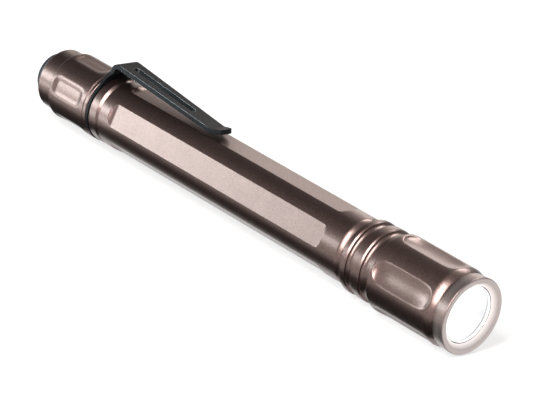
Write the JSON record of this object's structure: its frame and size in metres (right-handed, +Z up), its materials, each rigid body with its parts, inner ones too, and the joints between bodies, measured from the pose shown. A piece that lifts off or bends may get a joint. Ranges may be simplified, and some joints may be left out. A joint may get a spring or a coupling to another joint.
{
  "type": "penlight flashlight",
  "caption": "Slim pocket flashlight with flats along a round metal tube, a finned scalloped head, a push-button tail cap and a spring pocket clip.",
  "frame": {"origin": "on the surface that the light lies on, under the middle of its length", "axes": "+X along the light from the tail button to the lens, +Z up through the pocket clip, +Y to the left"},
  "size_m": [0.134, 0.0174, 0.0202],
  "materials": {
    "bronze_anodised": "bead-blasted and anodised rose-brown",
    "clip_steel": "black-coated spring steel",
    "spring_steel": "plated wire",
    "contact_brass": "bright",
    "seal_rubber": "moulded matt",
    "button_rubber": "moulded matt",
    "switch_plastic": "moulded",
    "plunger_nylon": "moulded",
    "board_laminate": "solder mask",
    "board_white": "white solder mask on metal core",
    "cell_wrap": "plain wrapped can",
    "heat_sink_metal": "turned",
    "lead_red": "insulated wire",
    "lead_black": "insulated wire",
    "emitter_resin": "clear dome over phosphor",
    "reflector_chrome": "vacuum-metallised",
    "lens_glass": "polished"
  },
  "bodies": {
    "tube": {"body_tube": "bronze_anodised", "tail_seal": "seal_rubber", "head_seal": "seal_rubber", "rear_cell": "cell_wrap", "front_cell": "cell_wrap"},
    "tail_carriage": {"tail_spring": "spring_steel"},
    "tail_end": {"tail_cap": "bronze_anodised", "switch_housing": "switch_plastic", "contact_pin_left": "contact_brass", "contact_pin_right": "contact_brass", "switch_board": "board_laminate", "switch_retainer": "contact_brass", "switch_spring": "spring_steel"},
    "button": {"tail_button": "button_rubber", "button_seal": "seal_rubber", "switch_plunger": "plunger_nylon", "moving_contact": "contact_brass"},
    "clip_base": {"clip_ring": "clip_steel"},
    "clip_spring": {"clip_arm": "clip_steel"},
    "head_carriage": {"front_spring": "spring_steel"},
    "head": {"head_shell": "bronze_anodised", "heat_sink_pill": "heat_sink_metal", "lead_plus": "lead_red", "lead_minus": "lead_black", "driver_board": "board_laminate", "emitter_board": "board_white", "led_emitter": "emitter_resin", "reflector": "reflector_chrome", "lens": "lens_glass", "lens_gasket": "seal_rubber", "front_bezel": "bronze_anodised"}
  },
  "joints": [
    {"name": "tail_cap_travel", "type": "slide", "parent": "tube", "child": "tail_carriage", "axis": [-1, 0, 0], "range_m": [0, 0.006]},
    {"name": "tail_cap_turn", "type": "hinge", "parent": "tail_carriage", "child": "tail_end", "pos_m": [-0.055, 0, 0.00872], "axis": [-1, 0, 0], "range_deg": [0, 2160]},
    {"name": "button_press", "type": "slide", "parent": "tail_end", "child": "button", "axis": [1, 0, 0], "range_m": [0, 0.0012], "stiffness_N_per_m": 2000, "springref_m": -0.001, "deforming": ["switch_spring"]},
    {"name": "clip_swivel", "type": "hinge", "parent": "tube", "child": "clip_base", "pos_m": [-0.046, 0, 0.00872], "axis": [1, 0, 0], "continuous": true},
    {"name": "clip_flex", "type": "hinge", "parent": "clip_base", "child": "clip_spring", "pos_m": [-0.04393, 0, 0.01986], "axis": [0, -1, 0], "range_deg": [0, 6], "stiffness_Nm_per_rad": 2.5},
    {"name": "head_travel", "type": "slide", "parent": "tube", "child": "head_carriage", "axis": [1, 0, 0], "range_m": [0, 0.005]},
    {"name": "head_turn", "type": "hinge", "parent": "head_carriage", "child": "head", "pos_m": [0.05, 0, 0.00872], "axis": [1, 0, 0], "range_deg": [0, 1800]}
  ],
  "couplings": [
    {"joint": "tail_cap_turn", "follows": "tail_cap_travel", "rad_per_m": 6283.2},
    {"joint": "head_turn", "follows": "head_travel", "rad_per_m": 6283.2}
  ]
}
